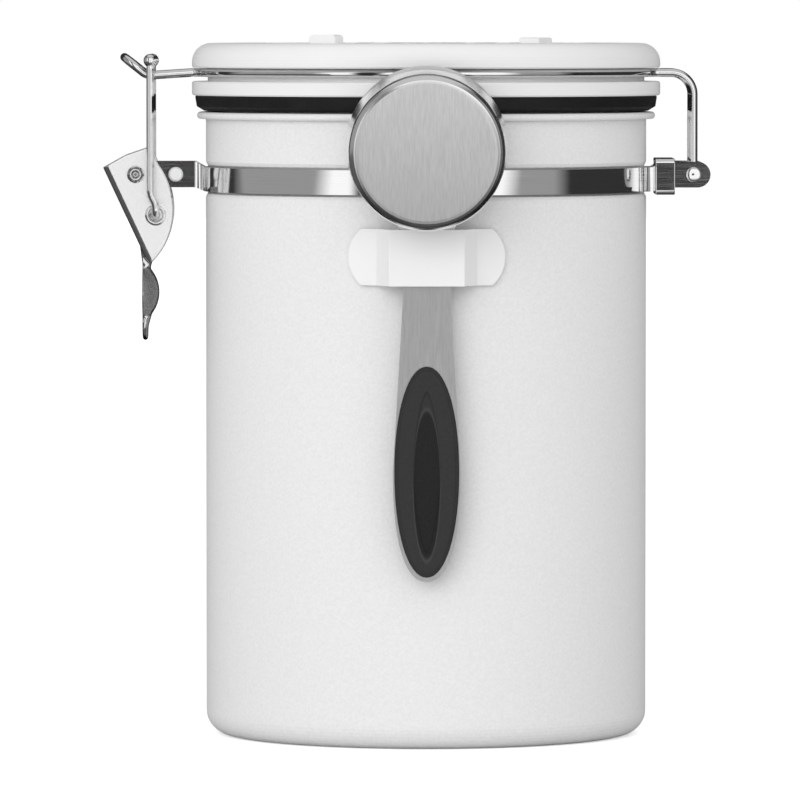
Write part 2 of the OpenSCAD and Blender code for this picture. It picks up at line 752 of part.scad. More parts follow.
day_tab_a = -122.4;
month_tab_a = -28.2;

module day_ring() { color("white") dial_ring(day_r, day_w, day_tab_a, day_w - 2.4, day_tab_h); }
module month_ring() {
    color("white") dial_ring(month_r, month_w, month_tab_a, month_w - 1.3, month_tab_h);
}

// VALVE

seat_z = plug_z0 + 12;
seat_t = 2;
seat_top = seat_z + seat_t;
seat_ring_h = 0.5;
seat_hole_r = 1.5;
valve_t = 1;
valve_dome = 0.6;
valve_hub_r = 2.5;
valve_stem_r = 1.2;
valve_bulb_r = 1.9;
valve_bulb_l = 3.6;
air_hole_r = 1.2;
air_hole_ring_r = 4.6;
cap_skirt = 3.5;
cap_skirt_r = tube_r - 0.25;

// The seat has a ring that the valve disc lies on, a hole for its stem and six air holes
module valve_seat() {
    color("whitesmoke") difference() {
        turned() polygon([[0, seat_z], [tube_r - fit, seat_z], [tube_r - fit, seat_top],
                          [valve_r - 0.4, seat_top], [valve_r - 0.6, seat_top + seat_ring_h],
                          [valve_r - 1.8, seat_top + seat_ring_h], [valve_r - 2, seat_top],
                          [0, seat_top]]);
        translate([0, 0, seat_z - 1]) cylinder(r = seat_hole_r, h = seat_t + 2);
        for (i = [0:5]) rotate([0, 0, 60 * i]) translate([air_hole_ring_r, 0, seat_z - 1])
            cylinder(r = air_hole_r, h = seat_t + 2, $fn = 24);
    }
}

// A rubber mushroom: a thin domed disc with a stem and a bulb that holds it in the seat
module valve_disc() {
    z0 = seat_top + seat_ring_h + fit;
    color("dimgray") turned() polygon([
        [0, seat_z - valve_bulb_l], [valve_bulb_r / 2, seat_z - valve_bulb_l],
        [valve_bulb_r, seat_z - valve_bulb_l * 0.6], [valve_stem_r, seat_z - valve_bulb_l / 3],
        [valve_stem_r, z0], [valve_r, z0], [valve_r, z0 + valve_t / 2],
        [valve_r * 0.7, z0 + valve_t], [valve_hub_r, z0 + valve_t + valve_dome],
        [0, z0 + valve_t + valve_dome]]);
}

module valve_cap() {
    slot_r0 = 5;
    slot_r1 = cap_skirt_r - 3.2;
    color("whitesmoke") translate([0, 0, top_z - cap_t]) difference() {
        turned() polygon([
            [0, 0], [cap_skirt_r - 1.2, 0], [cap_skirt_r - 1.2, -cap_skirt], [cap_skirt_r, -cap_skirt],
            [cap_skirt_r, 0], [cap_r, 0], [cap_r, cap_t - 0.4], [cap_r - 0.4, cap_t],
            [4, cap_t], [3.2, cap_t - 0.4], [0, cap_t - 0.4]]);
        for (i = [0:vent_count - 1]) rotate([0, 0, 360 * i / vent_count])
            translate([0, 0, -1]) linear_extrude(cap_t + 2) union() {
                translate([slot_r0, -0.9]) square([slot_r1 - slot_r0, 1.8]);
                for (x = [slot_r0, slot_r1]) translate([x, 0]) circle(r = 0.9, $fn = 24);
            }
    }
}

cover_lip_t = 1.2;
cover_spigot = 3;
filter_z = plug_z0 + cover_spigot + 0.1;

module valve_filter() {
    color("ivory") translate([0, 0, filter_z]) cylinder(r = tube_r - 0.5, h = filter_t);
}

// A push-in grille under the valve, which holds the filter
module filter_cover() {
    lip_r = tube_r + 3;
    color("whitesmoke") difference() {
        turned() polygon([
            [0, plug_z0 - cover_lip_t], [lip_r - 0.5, plug_z0 - cover_lip_t], [lip_r, plug_z0 - cover_lip_t + 0.5],
            [lip_r, plug_z0 - 0.02], [tube_r - fit, plug_z0 - 0.02],
            [tube_r - fit, plug_z0 + cover_spigot], [tube_r - 1.5, plug_z0 + cover_spigot],
            [tube_r - 1.5, plug_z0], [0, plug_z0]]);
        for (i = [-3:3]) let (half = sqrt(pow(tube_r - 3, 2) - pow(3 * i, 2)))
            translate([-half, 3 * i - 0.7, plug_z0 - 3]) cube([2 * half, 1.4, 4]);
    }
}

// SCOOP

holder_top = band_z0 - holder_drop;
holder_z = holder_top - holder_h;
handle_back_y = -(flange_r + 0.8 + (grip_t - scoop_t) / 2);
handle_front_y = handle_back_y - scoop_t;
bridge_back_y = handle_back_y - scoop_t / 2 - grip_t / 2 - side_gap;
bridge_front_y = bridge_back_y - holder_t;
bowl_draft = 0.8;
bowl_corner = 2.8;
bowl_sink = (bowl_tilt > 0) ? tan(bowl_tilt) * (abs(bridge_front_y) - abs(handle_back_y)) : 0;
bowl_z = holder_top + rest_gap + bowl_r * cos(bowl_tilt) + bowl_sink;
bowl_y = handle_back_y - bowl_r * sin(bowl_tilt);

module bowl_section() {
    base_r = bowl_r - bowl_draft;
    polygon(concat(
        [[bowl_r - scoop_t, 0], [bowl_r, 0]],
        arc([base_r - bowl_corner, bowl_depth - bowl_corner], bowl_corner, 0, 90, 6),
        [[0, bowl_depth], [0, bowl_depth - scoop_t]],
        arc([base_r - bowl_corner, bowl_depth - bowl_corner], bowl_corner - scoop_t * 0.8, 90, 0, 6)));
}

// Half widths of the handle down its length, and its round end
handle_end_z = bowl_z - bowl_r - handle_len;
handle_wide_z = handle_end_z + 28.7;
handle_taper_z = holder_z - 4;

module handle_outline() {
    root_z = bowl_z - bowl_r * 0.93;
    end = [for (i = [0:24]) let (a = -180 * i / 24, s = sin(a), c = cos(a))
        [handle_w / 2 * sign(c) * pow(abs(c), 2 / 2.3), 28.7 * sign(s) * pow(abs(s), 2 / 2.3)]];
    polygon(concat(
        [[-handle_neck_w / 2 - 1.6, root_z], [handle_neck_w / 2 + 1.6, root_z],
         [handle_neck_w / 2, root_z - 5], [handle_neck_w / 2, handle_taper_z]],
        [for (p = end) p + [0, handle_wide_z]],
        [[-handle_neck_w / 2, handle_taper_z], [-handle_neck_w / 2, root_z - 5]]));
}

grip_z = handle_end_z + 1.2 + grip_len / 2;
grip_lip = 2.4;

module scoop() {
    color("lightgray") {
        translate([0, bowl_y, bowl_z]) rotate([90 + bowl_tilt, 0, 0]) turned() bowl_section();
        difference() {
            plate_xz(handle_front_y, handle_back_y) handle_outline();
            plate_xz(handle_front_y - 1, handle_back_y + 1) translate([0, grip_z])
                polygon(oval(grip_w / 2 - grip_lip, grip_len / 2 - grip_lip, 2.1));
        }
    }
}

// The rubber fills the slot in the handle and grips both faces with a rounded pad
module scoop_grip() {
    mid_y = (handle_front_y + handle_back_y) / 2;
    pad = (grip_t - scoop_t) / 2;
    color([0.15, 0.15, 0.15]) {
        plate_xz(handle_front_y, handle_back_y) translate([0, grip_z])
            polygon(oval(grip_w / 2 - grip_lip - fit, grip_len / 2 - grip_lip - fit, 2.1));
        translate([0, mid_y, grip_z]) for (side = [0, 180]) rotate([90, 0, side])
            translate([0, 0, scoop_t / 2]) difference() {
                union() {
                    linear_extrude(pad * 0.5) polygon(oval(grip_w / 2, grip_len / 2, 2.1));
                    translate([0, 0, pad * 0.5]) grip_layer(0.35, pad * 0.25);
                    translate([0, 0, pad * 0.75]) grip_layer(1, pad * 0.25);
                }
                translate([0, 0, pad - 0.4]) linear_extrude(1)
                    polygon(oval(3.7, grip_len / 2 - 6.5, 1.6));
            }
    }
}

module grip_layer(inset, h) {
    linear_extrude(h) polygon(oval(grip_w / 2 - inset, grip_len / 2 - inset, 2.1));
}

// HOLDER

wing_in_r = body_r + pad_t + fit;
wing_out_r = wing_in_r + holder_t + 0.1;
bridge_root = bridge_w / 2 + 3.4;

module bridge_plan(inset) {
    polygon([[-bridge_root + inset, -wing_in_r + 4], [-bridge_root + inset, -wing_in_r],
             [-bridge_w / 2 + inset * 0.6, bridge_front_y + inset],
             [bridge_w / 2 - inset * 0.6, bridge_front_y + inset],
             [bridge_root - inset, -wing_in_r], [bridge_root - inset, -wing_in_r + 4]]);
}

module holder_plan() {
    difference() {
        union() {
            difference() {
                circle(r = wing_out_r, $fn = 256);
                translate([-100, -20]) square(200);
            }
            bridge_plan(0);
        }
        circle(r = wing_in_r, $fn = 256);
        bridge_plan(holder_t);
    }
}

// Front view of the holder, whose wings have round ends
module holder_outline(w) {
    end_r = 9.9;
    intersection() {
        translate([-w / 2, holder_z]) square([w, holder_h]);
        translate([-w / 2 + end_r, holder_z + holder_h / 2]) union() {
            circle(r = end_r);
            translate([0, -holder_h]) square([w, 2 * holder_h]);
        }
        translate([w / 2 - end_r, holder_z + holder_h / 2]) union() {
            circle(r = end_r);
            translate([-w, -holder_h]) square([w, 2 * holder_h]);
        }
    }
}

module scoop_holder() {
    color("white") intersection() {
        translate([0, 0, holder_z]) linear_extrude(holder_h) holder_plan();
        plate_xz(-body_r - 20, 0) holder_outline(holder_w);
    }
}

module holder_pads() {
    margin = 1.5;
    color("white") intersection() {
        difference() {
            translate([0, 0, holder_z + margin]) cylinder(r = wing_in_r - fit / 2, h = holder_h - 2 * margin, $fn = 256);
            translate([0, 0, holder_z - 1]) cylinder(r = body_r + fit, h = holder_h + 2, $fn = 256);
            translate([-bridge_root - 1, -body_r - 10, holder_z - 1])
                cube([2 * bridge_root + 2, 20, holder_h + 2]);
        }
        plate_xz(-body_r - 20, 0) holder_outline(holder_w - 2 * margin);
    }
}

canister_body();
front_band();
rear_band();
hinge_clip();
ear_rivet();
ear_spacer();
lever_pin();
latch_lever();
latch_link();
bail_wire();
lid_cover();
lid_base();
lid_gasket();
day_ring();
month_ring();
valve_seat();
valve_disc();
valve_cap();
valve_filter();
filter_cover();
scoop();
scoop_grip();
scoop_holder();
holder_pads();
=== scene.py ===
"""Finishes and small details of a clamp-lid coffee canister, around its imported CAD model.

The canister stands on its base at the origin, in metres. Its scoop hangs at the front, -Y, the
bail wire's hinge is at +X and the latch at -X.
"""

import math

import bpy
from mathutils import Matrix, Vector


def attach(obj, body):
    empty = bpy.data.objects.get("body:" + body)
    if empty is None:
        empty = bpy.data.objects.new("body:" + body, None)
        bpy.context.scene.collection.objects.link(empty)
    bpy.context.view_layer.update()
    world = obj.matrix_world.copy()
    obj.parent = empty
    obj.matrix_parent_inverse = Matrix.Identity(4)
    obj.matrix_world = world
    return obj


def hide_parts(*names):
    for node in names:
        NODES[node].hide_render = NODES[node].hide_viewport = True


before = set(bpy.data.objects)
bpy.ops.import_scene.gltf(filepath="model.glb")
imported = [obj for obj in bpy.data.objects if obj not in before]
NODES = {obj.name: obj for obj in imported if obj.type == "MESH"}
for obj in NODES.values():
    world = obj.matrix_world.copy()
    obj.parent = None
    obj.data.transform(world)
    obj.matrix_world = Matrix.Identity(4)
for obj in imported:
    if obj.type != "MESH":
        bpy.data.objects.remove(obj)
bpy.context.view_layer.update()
bpy.ops.object.select_all(action="DESELECT")
scene = bpy.context.scene

# CAMERA

CAMERA_SIDE = -0.0071
CAMERA_EYE = Vector((CAMERA_SIDE, -2.32, 0.195))
CAMERA_AIM = Vector((CAMERA_SIDE, 0.0, 0.0909))
CAMERA_FOCAL = 382.8

bpy.ops.object.camera_add(location=CAMERA_EYE)
camera = bpy.context.object
camera.name = "photo_camera"
camera.rotation_euler = (CAMERA_AIM - CAMERA_EYE).to_track_quat("-Z", "Y").to_euler()
camera.data.lens = CAMERA_FOCAL
camera.data.sensor_width = 36.0
camera.data.clip_start = 0.1
camera.data.clip_end = 30.0
scene.camera = camera
scene.view_settings.view_transform = "Standard"


# FINISHES

def finish(name, color, roughness, metallic=0.0, ior=1.5):
    """A new material whose whole surface has this colour and gloss; returns it and its shader."""
    material = bpy.data.materials.new(name)
    material.use_nodes = True
    shader = material.node_tree.nodes["Principled BSDF"]
    shader.inputs["Base Color"].default_value = (*color, 1.0)
    shader.inputs["Roughness"].default_value = roughness
    shader.inputs["Metallic"].default_value = metallic
    shader.inputs["IOR"].default_value = ior
    return material, shader


def pattern_noise(material, scale, detail=2.0, coarse=1.0):
    """Noise on the piece's own coordinates; scale is its grains per metre along X, Y and Z."""
    nodes, links = material.node_tree.nodes, material.node_tree.links
    coords = nodes.new("ShaderNodeTexCoord")
    mapping = nodes.new("ShaderNodeMapping")
    mapping.inputs["Scale"].default_value = scale
    noise = nodes.new("ShaderNodeTexNoise")
    noise.inputs["Scale"].default_value = coarse
    noise.inputs["Detail"].default_value = detail
    links.new(coords.outputs["Object"], mapping.inputs["Vector"])
    links.new(mapping.outputs["Vector"], noise.inputs["Vector"])
    return noise.outputs["Fac"]


def vary_number(material, source, socket, low, high, source_low=0.35, source_high=0.65):
    """Lets a pattern move one of the shader's numbers between two values."""
    nodes, links = material.node_tree.nodes, material.node_tree.links
    spread = nodes.new("ShaderNodeMapRange")
    spread.inputs["From Min"].default_value = source_low
    spread.inputs["From Max"].default_value = source_high
    spread.inputs["To Min"].default_value = low
    spread.inputs["To Max"].default_value = high
    links.new(source, spread.inputs["Value"])
    links.new(spread.outputs["Result"], socket)
    return spread


def vary_color(material, source, socket, dark, light, source_low=0.3, source_high=0.7):
    """Lets a pattern move one of the shader's colours between two colours."""
    nodes, links = material.node_tree.nodes, material.node_tree.links
    ramp = nodes.new("ShaderNodeValToRGB")
    ramp.color_ramp.elements[0].position = source_low
    ramp.color_ramp.elements[0].color = (*dark, 1.0)
    ramp.color_ramp.elements[1].position = source_high
    ramp.color_ramp.elements[1].color = (*light, 1.0)
    links.new(source, ramp.inputs["Fac"])
    links.new(ramp.outputs["Color"], socket)
    return ramp


def relief(material, shader, source, height, strength=1.0):
    """Raises the surface by a pattern, up to the height in metres."""
    nodes, links = material.node_tree.nodes, material.node_tree.links
    bump = nodes.new("ShaderNodeBump")
    bump.inputs["Distance"].default_value = height
    bump.inputs["Strength"].default_value = strength
    links.new(source, bump.inputs["Height"])
    links.new(bump.outputs["Normal"], shader.inputs["Normal"])
    return bump


def grey(level):
    return (level, level, level)


def plain_plastic(name, level, roughness, orange_peel=0.00002):
    material, shader = finish(name, grey(level), roughness)
    shader.inputs["Specular IOR Level"].default_value = 0.25
    cloud = pattern_noise(material, (60, 60, 60), detail=3)
    vary_color(material, cloud, shader.inputs["Base Color"], grey(level * 0.985), grey(level))
    fine = pattern_noise(material, (2500, 2500, 2500), detail=2)
    vary_number(material, fine, shader.inputs["Roughness"], roughness - 0.04, roughness + 0.04)
    relief(material, shader, fine, orange_peel, 0.35)
    return material


def black_rubber(name, level, roughness, grain=1800):
    material, shader = finish(name, grey(level), roughness)
    cloud = pattern_noise(material, (300, 300, 300), detail=4)
    vary_color(material, cloud, shader.inputs["Base Color"], grey(level * 0.85), grey(level * 1.15))
    shader.inputs["Specular IOR Level"].default_value = 0.3
    fine = pattern_noise(material, (grain, grain, grain), detail=3)
    vary_number(material, fine, shader.inputs["Roughness"], roughness - 0.08, roughness + 0.08)
    relief(material, shader, fine, 0.00003, 0.5)
    return material


def bright_steel(name, level, roughness, streak_scale, streak_height=0.000002, metallic=1.0):
    """Polished or drawn steel: fine lines run along the axis where streak_scale is small."""
    material, shader = finish(name, grey(level), roughness, metallic=metallic)
    streaks = pattern_noise(material, streak_scale, detail=4)
    vary_color(material, streaks, shader.inputs["Base Color"], grey(level * 0.94), grey(level))
    vary_number(material, streaks, shader.inputs["Roughness"], roughness * 0.7, roughness * 1.4)
    relief(material, shader, streaks, streak_height, 0.5)
    return material


def test(material, source, operation, limit):
    """1 where the number from source is above or below the limit, else 0."""
    nodes, links = material.node_tree.nodes, material.node_tree.links
    answer = nodes.new("ShaderNodeMath")
    answer.operation = operation
    answer.inputs[1].default_value = limit
    links.new(source, answer.inputs[0])
    return answer.outputs["Value"]


def combine(material, first, second, operation):
    nodes, links = material.node_tree.nodes, material.node_tree.links
    result = nodes.new("ShaderNodeMath")
    result.operation = operation
    links.new(first, result.inputs[0])
    links.new(second, result.inputs[1])
    return result.outputs["Value"]


def coated_steel():
    """White powder coat outside; inside the can and on the raised panel the steel is bare."""
    coat_level = 0.85
    material, shader = finish("white_powder_coat", grey(coat_level), 0.42)
    shader.inputs["Specular IOR Level"].default_value = 0.2
    nodes, links = material.node_tree.nodes, material.node_tree.links
    coords = nodes.new("ShaderNodeTexCoord")
    flat = nodes.new("ShaderNodeVectorMath")
    flat.operation = "MULTIPLY"
    flat.inputs[1].default_value = (1, 1, 0)
    reach = nodes.new("ShaderNodeVectorMath")
    reach.operation = "LENGTH"
    links.new(coords.outputs["Object"], flat.inputs[0])
    links.new(flat.outputs["Vector"], reach.inputs[0])
    high = nodes.new("ShaderNodeSeparateXYZ")
    links.new(coords.outputs["Object"], high.inputs["Vector"])
    wall = combine(material, test(material, reach.outputs["Value"], "LESS_THAN", 0.05955),
                   test(material, high.outputs["Z"], "GREATER_THAN", 0.009), "MULTIPLY")
    panel = combine(material, test(material, reach.outputs["Value"], "LESS_THAN", 0.0485),
                    test(material, high.outputs["Z"], "GREATER_THAN", 0.0023), "MULTIPLY")
    bare = combine(material, wall, panel, "MAXIMUM")
    powder = pattern_noise(material, (1300, 1300, 1300), detail=3)
    tint = nodes.new("ShaderNodeMix")
    tint.data_type = "RGBA"
    tint.inputs["B"].default_value = (0.62, 0.62, 0.61, 1.0)
    vary_color(material, powder, tint.inputs["A"], grey(coat_level * 0.93), grey(coat_level))
    links.new(bare, tint.inputs["Factor"])
    links.new(tint.outputs["Result"], shader.inputs["Base Color"])
    vary_number(material, bare, shader.inputs["Metallic"], 0.0, 0.6, 0.0, 1.0)
    vary_number(material, bare, shader.inputs["Roughness"], 0.42, 0.35, 0.0, 1.0)
    relief(material, shader, powder, 0.00004, 0.35)
    return material


def grip_rubber():
    """Dark rubber, with painted shade that makes the long hollow of the grip darker and a painted
    highlight line round the hollow.
    """
    level = 0.03
    material, shader = finish("dark_grip_rubber_painted_shade", grey(level), 0.62)
    shader.inputs["Specular IOR Level"].default_value = 0.3
    nodes, links = material.node_tree.nodes, material.node_tree.links
    coords = nodes.new("ShaderNodeTexCoord")
    from_middle = nodes.new("ShaderNodeVectorMath")
    from_middle.operation = "SUBTRACT"
    from_middle.inputs[1].default_value = (0, 0, 0.0713)
    oval = nodes.new("ShaderNodeVectorMath")
    oval.operation = "MULTIPLY"
    oval.inputs[1].default_value = (1 / 0.0038, 0, 1 / 0.0212)
    reach = nodes.new("ShaderNodeVectorMath")
    reach.operation = "LENGTH"
    links.new(coords.outputs["Object"], from_middle.inputs[0])
    links.new(from_middle.outputs["Vector"], oval.inputs[0])
    links.new(oval.outputs["Vector"], reach.inputs[0])
    # Painted shade inside the hollow, and a painted highlight line round its edge.
    tone = vary_color(material, reach.outputs["Value"], shader.inputs["Base Color"],
                      grey(0.012), grey(level), 0.9, 1.0)
    painted_highlight_line = tone.color_ramp.elements.new(0.95)
    painted_highlight_line.color = (*grey(0.05), 1.0)
    grain = pattern_noise(material, (1800, 1800, 1800), detail=3)
    vary_number(material, grain, shader.inputs["Roughness"], 0.55, 0.7)
    relief(material, shader, grain, 0.00003, 0.5)
    return material


def brushed_scoop():
    """Brushed steel with fine upright grain; the bowl's round edge is polished and given a brighter
    steel tone, a painted highlight, and the tone is painted lighter towards the top and darker towards
    the bottom, a painted shade.
    """
    material, shader = finish("brushed_scoop_steel_painted_light", grey(0.5), 0.3, metallic=1.0)
    nodes, links = material.node_tree.nodes, material.node_tree.links
    coords = nodes.new("ShaderNodeTexCoord")
    split = nodes.new("ShaderNodeSeparateXYZ")
    links.new(coords.outputs["Object"], split.inputs["Vector"])
    from_middle = nodes.new("ShaderNodeVectorMath")
    from_middle.operation = "SUBTRACT"
    from_middle.inputs[1].default_value = (0, 0, BOWL_MIDDLE)
    flat = nodes.new("ShaderNodeVectorMath")
    flat.operation = "MULTIPLY"
    flat.inputs[1].default_value = (1, 0, 1)
    reach = nodes.new("ShaderNodeVectorMath")
    reach.operation = "LENGTH"
    links.new(coords.outputs["Object"], from_middle.inputs[0])
    links.new(from_middle.outputs["Vector"], flat.inputs[0])
    links.new(flat.outputs["Vector"], reach.inputs[0])
    rim = nodes.new("ShaderNodeMapRange")
    rim.inputs["From Min"].default_value = 0.0188
    rim.inputs["From Max"].default_value = 0.0196
    links.new(reach.outputs["Value"], rim.inputs["Value"])
    inside = nodes.new("ShaderNodeMath")
    inside.operation = "LESS_THAN"
    inside.inputs[1].default_value = 0.0225
    links.new(reach.outputs["Value"], inside.inputs[0])
    edge = nodes.new("ShaderNodeMath")
    edge.operation = "MULTIPLY"
    links.new(rim.outputs["Result"], edge.inputs[0])
    links.new(inside.outputs["Value"], edge.inputs[1])
    vary_number(material, edge.outputs["Value"], shader.inputs["Roughness"], 0.3, 0.2, 0.0, 1.0)
    grain = pattern_noise(material, (2600, 800, 240), detail=5)
    tint = nodes.new("ShaderNodeMix")
    tint.data_type = "RGBA"
    tint.blend_type = "MULTIPLY"
    tint.inputs["Factor"].default_value = 1.0
    vary_color(material, grain, tint.inputs["A"], grey(0.85), grey(1.0))
    # Painted shade: the steel's tone is darker towards the bottom of the scoop and lighter towards the
    # top.
    rise = nodes.new("ShaderNodeMapRange")
    rise.inputs["From Min"].default_value = 0.138
    rise.inputs["From Max"].default_value = 0.176
    links.new(split.outputs["Z"], rise.inputs["Value"])
    vary_color(material, rise.outputs["Result"], tint.inputs["B"], grey(0.52), grey(0.74), 0.0, 1.0)
    # Painted highlight: the bowl's polished round edge also gets a near-white steel tone; the lower
    # roughness there is the real polish.
    painted_rim_highlight = nodes.new("ShaderNodeMix")
    painted_rim_highlight.data_type = "RGBA"
    painted_rim_highlight.inputs["B"].default_value = (0.95, 0.95, 0.95, 1.0)
    links.new(tint.outputs["Result"], painted_rim_highlight.inputs["A"])
    links.new(edge.outputs["Value"], painted_rim_highlight.inputs["Factor"])
    links.new(painted_rim_highlight.outputs["Result"], shader.inputs["Base Color"])
    relief(material, shader, grain, 0.000004, 0.35)
    return material


BOWL_MIDDLE = 0.159

POWDER_COAT = coated_steel()
BAND_STEEL = bright_steel("polished_band_steel", 0.97, 0.07, (60, 60, 5000))
WIRE_STEEL = bright_steel("bright_wire", 0.95, 0.06, (900, 900, 900))
LATCH_STEEL = bright_steel("pressed_latch_steel", 0.88, 0.1, (900, 900, 900))
CHEEK_STEEL = bright_steel("satin_cheek_steel", 0.95, 0.34, (9000, 9000, 9000), 0.0000004, 0.6)
# A duller finish, and a darker steel tone that is painted shade, for the back of the thumb dish.
SHADED_SPOON_BACK = bright_steel("dull_spoon_back_painted_shade", 0.29, 0.25, (900, 900, 900))
LID_PLASTIC = plain_plastic("white_lid_plastic", 0.86, 0.38)
DIAL_PLASTIC = plain_plastic("white_dial_plastic", 0.87, 0.3)
HOLDER_PLASTIC = plain_plastic("white_holder_plastic", 0.9, 0.35, 0.000004)
SEAL_RUBBER = black_rubber("black_seal_rubber", 0.012, 0.6)
VALVE_RUBBER = black_rubber("grey_valve_rubber", 0.3, 0.6)
GRIP_RUBBER = grip_rubber()
FILTER_FELT = plain_plastic("white_filter_felt", 0.8, 0.95, 0.0002)
PAD_FOAM = plain_plastic("white_pad_foam", 0.75, 0.9, 0.0001)
SCOOP_STEEL = brushed_scoop()

FINISH_OF = {
    "canister_body": POWDER_COAT,
    "front_band": BAND_STEEL,
    "rear_band": BAND_STEEL,
    "hinge_clip": BAND_STEEL,
    "ear_rivet": CHEEK_STEEL,
    "ear_spacer": LATCH_STEEL,
    "lever_pin": LATCH_STEEL,
    "latch_lever": LATCH_STEEL,
    "latch_link": WIRE_STEEL,
    "bail_wire": WIRE_STEEL,
    "lid_cover": LID_PLASTIC,
    "lid_base": LID_PLASTIC,
    "lid_gasket": SEAL_RUBBER,
    "day_ring": DIAL_PLASTIC,
    "month_ring": DIAL_PLASTIC,
    "valve_seat": LID_PLASTIC,
    "valve_disc": VALVE_RUBBER,
    "valve_cap": LID_PLASTIC,
    "valve_filter": FILTER_FELT,
    "filter_cover": LID_PLASTIC,
    "scoop": SCOOP_STEEL,
    "scoop_grip": GRIP_RUBBER,
    "scoop_holder": HOLDER_PLASTIC,
    "holder_pads": PAD_FOAM,
}


def dress(piece, material):
    """The piece has this finish all over."""
    piece.data.materials.clear()
    piece.data.materials.append(material)


for node, node_finish in FINISH_OF.items():
    slots = NODES[node].material_slots
    for slot in slots:
        slot.material = node_finish


# WIRE PARTS

def use_only(piece):
    bpy.ops.object.select_all(action="DESELECT")
    piece.select_set(True)
    bpy.context.view_layer.objects.active = piece


def apply_modifiers(piece):
    use_only(piece)
    for modifier in list(piece.modifiers):
        bpy.ops.object.modifier_apply(modifier=modifier.name)


def settle(piece, smooth_angle):
    """The piece's place goes into its mesh, its faces point outwards and its curves are smooth."""
    use_only(piece)
    bpy.ops.object.transform_apply(location=True, rotation=True, scale=True)
    bpy.ops.object.mode_set(mode="EDIT")
    bpy.ops.mesh.select_all(action="SELECT")
    bpy.ops.mesh.remove_doubles(threshold=0.00001)
    bpy.ops.mesh.normals_make_consistent(inside=False)
    bpy.ops.mesh.select_all(action="DESELECT")
    bpy.ops.object.mode_set(mode="OBJECT")
    bpy.ops.object.shade_smooth_by_angle(angle=math.radians(smooth_angle))
    bpy.ops.object.select_all(action="DESELECT")


def bent_wire(name, diameter, start, heading, steps):
    """Round wire from start; each step is a straight length, or a bend (radius, degrees, side)."""
    place, heading = Vector(start), Vector(heading).normalized()
    bpy.ops.mesh.primitive_circle_add(vertices=28, radius=diameter / 2, location=place,
                                      rotation=heading.to_track_quat("Z", "Y").to_euler())
    wire = bpy.context.object
    wire.name = name
    bpy.ops.object.transform_apply(location=True, rotation=True, scale=True)
    bpy.ops.object.mode_set(mode="EDIT")
    bpy.ops.mesh.select_all(action="SELECT")
    for step in steps:
        if isinstance(step, tuple):
            radius, degrees, side = step
            side = Vector(side)
            side = (side - heading * side.dot(heading)).normalized()
            centre = place + side * radius
            axis = heading.cross(side)
            turn = Matrix.Rotation(math.radians(degrees), 3, axis)
            count = max(3, round(degrees / 4))
            bpy.ops.mesh.spin(steps=count, angle=-math.radians(degrees), center=centre, axis=axis)
            place = centre + turn @ (place - centre)
            heading = turn @ heading
        else:
            bpy.ops.mesh.extrude_region_move(TRANSFORM_OT_translate={"value": heading * step})
            place = place + heading * step
    bpy.ops.object.mode_set(mode="OBJECT")
    return wire, place, heading


def mirror_to_front(wire):
    """The rear half gets its mirror image, and the two are one wire."""
    use_only(wire)
    mirror = wire.modifiers.new("front_half", "MIRROR")
    mirror.use_axis = (False, True, False)
    mirror.use_mirror_merge = True
    mirror.merge_threshold = 0.00002
    apply_modifiers(wire)


def close_ends(wire):
    use_only(wire)
    bpy.ops.object.mode_set(mode="EDIT")
    bpy.ops.mesh.select_all(action="SELECT")
    bpy.ops.mesh.fill_holes(sides=0)
    bpy.ops.object.mode_set(mode="OBJECT")


BAIL_WIRE = 0.0023
RING_RADIUS = 0.061
RING_HEIGHT = 0.18025
HINGE_X = 0.0726
EAR_HEIGHT = 0.1526
LEG_SIDE = 0.0076
LEG_BEND = 0.0059
EYE_BEND = 0.0017
EAR_OUTER_SIDE = 0.0105
HEAD_LENGTH = 0.0011
RING_BEND = 0.003
NOSE_SIDE = 0.0046
NOSE_LEAN = 3.8
NOSE_RUN = 0.01054
NOSE_BEND = 0.004
NOSE_RISE = 42
NOSE_END = 0.0019


def bail():
    """The ring, its two hinge legs with headed ends, and the nose that the link hooks over."""
    turn_radius = RING_RADIUS + RING_BEND
    leg_angle = math.degrees(math.asin((LEG_SIDE + RING_BEND) / turn_radius))
    nose_angle = math.degrees(math.asin((NOSE_SIDE + RING_BEND) / turn_radius))
    leg_start_x = turn_radius * math.cos(math.radians(leg_angle))
    head_side = EAR_OUTER_SIDE + 0.0003
    steps = [
        head_side - LEG_SIDE - EYE_BEND,
        (EYE_BEND, 90, (0, 0, 1)),
        RING_HEIGHT - LEG_BEND - EAR_HEIGHT - EYE_BEND,
        (LEG_BEND, 90, (-1, 0, 0)),
        HINGE_X - LEG_BEND - leg_start_x,
        (RING_BEND, 90 - leg_angle, (0, 1, 0)),
        (RING_RADIUS, 180 - leg_angle - nose_angle, (-1, 0, 0)),
        (RING_BEND, 90 - nose_angle, (-1, 0, 0)),
        (NOSE_BEND, NOSE_LEAN, (0, 0, -1)),
        NOSE_RUN,
        (NOSE_BEND, NOSE_RISE, (0, 0, 1)),
        NOSE_END,
        (NOSE_SIDE, 90, (0, -1, 0)),
    ]
    start = (HINGE_X, head_side, EAR_HEIGHT)
    wire, place, heading = bent_wire("bail_ring", BAIL_WIRE, start, (0, -1, 0), steps)
    mirror_to_front(wire)
    for side in (-1, 1):
        peen_head(wire, (HINGE_X, side * (head_side + HEAD_LENGTH / 2), EAR_HEIGHT), 0.002, HEAD_LENGTH)
    settle(wire, 40)
    dress(wire, WIRE_STEEL)
    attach(wire, "bail")
    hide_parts("bail_wire")
    return wire


